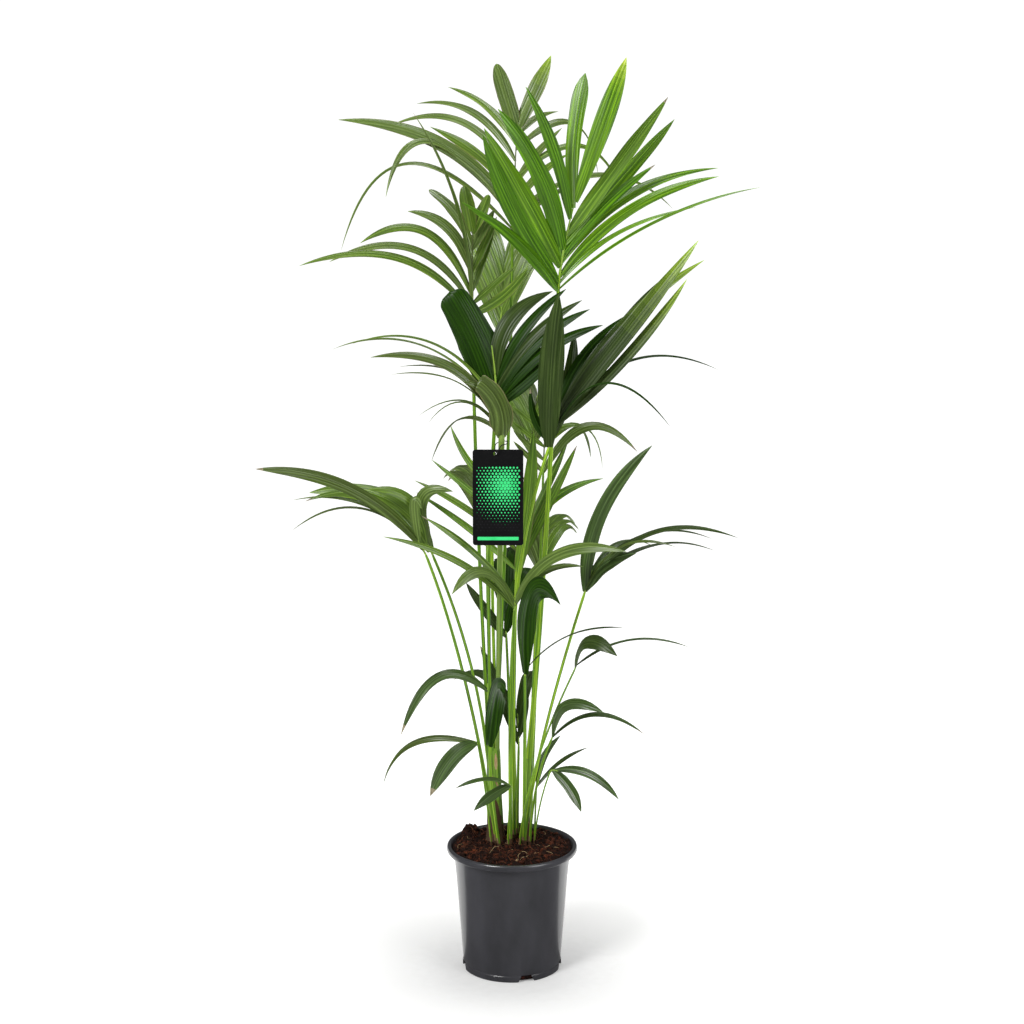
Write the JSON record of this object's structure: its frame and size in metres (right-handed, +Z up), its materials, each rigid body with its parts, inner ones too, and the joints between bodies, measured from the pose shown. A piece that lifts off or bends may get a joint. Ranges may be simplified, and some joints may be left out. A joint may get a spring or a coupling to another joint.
{
  "type": "kentia palm in a nursery pot",
  "caption": "Young feather palm: a clump of slender upright stalks with arching, deeply cut fronds, standing in a round tapered nursery pot, with a blank-lettered hang tag on one stalk.",
  "frame": {"origin": "centre of the pot's flat underside", "axes": "+Z up along the pot's axis; -Y is the front, where the hang tag is; +X is to the right seen from the front"},
  "size_m": [0.8427, 0.6033, 1.6327],
  "materials": {
    "pot": "satin charcoal plastic",
    "soil": "rough dark brown coir and bark",
    "sheath": "dull green-brown leaf sheath, brown fibres",
    "stalk": "smooth satin yellow-green",
    "frond": "satin green leaf with pleats",
    "tag": "gloss printed card",
    "tie": "matt black elastic"
  },
  "bodies": {
    "root": {"pot": "pot", "soil": "soil", "stem_left": "sheath", "stem_right": "sheath", "stalk_top_right": "stalk", "frond_top_right": "frond", "stalk_top_back": "stalk", "frond_top_back": "frond", "stalk_upper_left": "stalk", "frond_upper_left": "frond", "stalk_centre": "stalk", "frond_centre": "frond", "stalk_tagged": "stalk", "frond_tagged": "frond", "stalk_right": "stalk", "frond_right": "frond", "stalk_middle": "stalk", "frond_middle": "frond", "stalk_back_right": "stalk", "frond_back_right": "frond", "stalk_left_upper": "stalk", "frond_left_upper": "frond", "stalk_left_lower": "stalk", "frond_left_lower": "frond", "stalk_front_left": "stalk", "frond_front_left": "frond", "stalk_front_centre": "stalk", "frond_front_centre": "frond", "stalk_lower_right": "stalk", "frond_lower_right": "frond", "stalk_small_right": "stalk", "frond_small_right": "frond", "stalk_low_right": "stalk", "frond_low_right": "frond", "stalk_lowest_right": "stalk", "frond_lowest_right": "frond", "stalk_seedling_right": "stalk", "frond_seedling_right": "frond", "stalk_low_left": "stalk", "frond_low_left": "frond", "stalk_lowest_left": "stalk", "frond_lowest_left": "frond", "stalk_foot_left": "stalk", "frond_foot_left": "frond", "stalk_back_low": "stalk", "frond_back_low": "frond", "stalk_back_mid": "stalk", "frond_back_mid": "frond", "stalk_back_tall": "stalk", "frond_back_tall": "frond", "stalk_back_upper": "stalk", "frond_back_upper": "frond", "stalk_back_left": "stalk", "frond_back_left": "frond", "stalk_back_side": "stalk", "frond_back_side": "frond", "tag": "tag", "tag_tie": "tie"}
  },
  "joints": []
}
